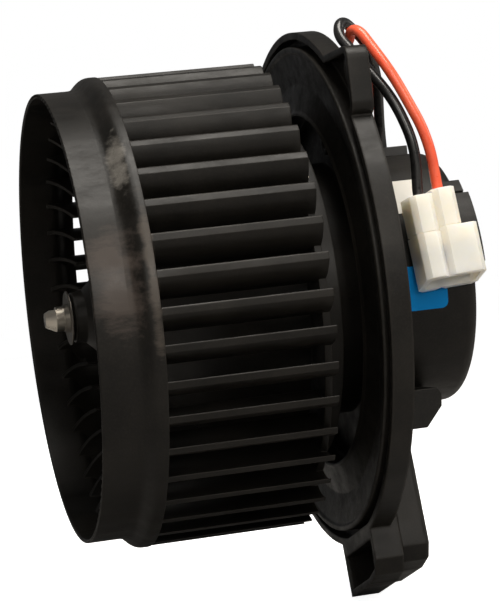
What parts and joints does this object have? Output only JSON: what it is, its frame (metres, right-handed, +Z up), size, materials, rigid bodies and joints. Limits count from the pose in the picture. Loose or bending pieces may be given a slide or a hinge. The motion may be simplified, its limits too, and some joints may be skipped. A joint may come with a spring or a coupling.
{
  "type": "blower motor wheel",
  "caption": "Heater blower: squirrel-cage wheel on a flanged brushed DC motor with a cooling scoop, screw ears and a leaded plug.",
  "frame": {"origin": "on the rotation axis, in the seating plane at the front edge of the flange rim", "axes": "+Y along the rotation axis from the wheel to the motor, +Z up with the cooling scoop below, +X towards the plug side"},
  "size_m": [0.1676, 0.1345, 0.1847],
  "materials": {
    "black_plastic": "satin moulded polypropylene, finely speckled",
    "wheel_plastic": "satin moulded polypropylene, polished by handling on the inlet ring",
    "cover_plastic": "satin moulded plastic",
    "zinc_steel": "bright zinc plate",
    "steel": "drawn steel",
    "spring_steel": "spring temper",
    "ferrite": "sintered ferrite",
    "bronze": "sintered bronze",
    "copper": "enamelled copper",
    "brass": "rolled brass",
    "carbon": "copper-graphite block",
    "card": "phenolic board",
    "rubber": "soft moulded rubber",
    "black_wire": "glossy insulation",
    "red_wire": "glossy insulation",
    "nylon": "natural nylon",
    "blue_label": "printed film",
    "white_label": "printed film"
  },
  "bodies": {
    "base": {"mounting_flange": "black_plastic", "cooling_duct": "black_plastic", "motor_cover": "cover_plastic", "cover_screws": "zinc_steel", "isolator_rings": "rubber", "rear_damper": "rubber", "motor_yoke": "steel", "end_bell": "steel", "field_magnets": "ferrite", "front_bearing": "bronze", "rear_bearing": "bronze", "front_bearing_retainer": "spring_steel", "rear_bearing_retainer": "spring_steel", "brush_card": "card", "brush_tubes": "brass", "brush_spring_upper": "spring_steel", "brush_spring_lower": "spring_steel", "choke_coils": "copper", "lead_terminals": "brass", "wire_grommet": "rubber", "wire_black": "black_wire", "wire_red": "red_wire", "connector_housing": "nylon", "connector_lock": "nylon", "connector_terminals": "brass", "rating_label": "white_label", "type_label": "blue_label"},
    "rotor": {"armature_shaft": "zinc_steel", "armature_core": "steel", "armature_windings": "copper", "commutator": "copper", "thrust_washers": "card", "blower_wheel": "wheel_plastic", "retaining_clip": "zinc_steel", "balance_clip": "zinc_steel"},
    "upper_brush": {"brush_upper": "carbon"},
    "lower_brush": {"brush_lower": "carbon"}
  },
  "joints": [
    {"name": "wheel_spin", "type": "hinge", "parent": "base", "child": "rotor", "pos_m": [0, 0, 0], "axis": [0, 1, 0], "continuous": true},
    {"name": "upper_brush_slide", "type": "slide", "parent": "base", "child": "upper_brush", "axis": [0, 0, 1], "range_m": [0, 0.002], "deforming": ["brush_spring_upper"]},
    {"name": "lower_brush_slide", "type": "slide", "parent": "base", "child": "lower_brush", "axis": [0, 0, -1], "range_m": [0, 0.002], "deforming": ["brush_spring_lower"]}
  ]
}
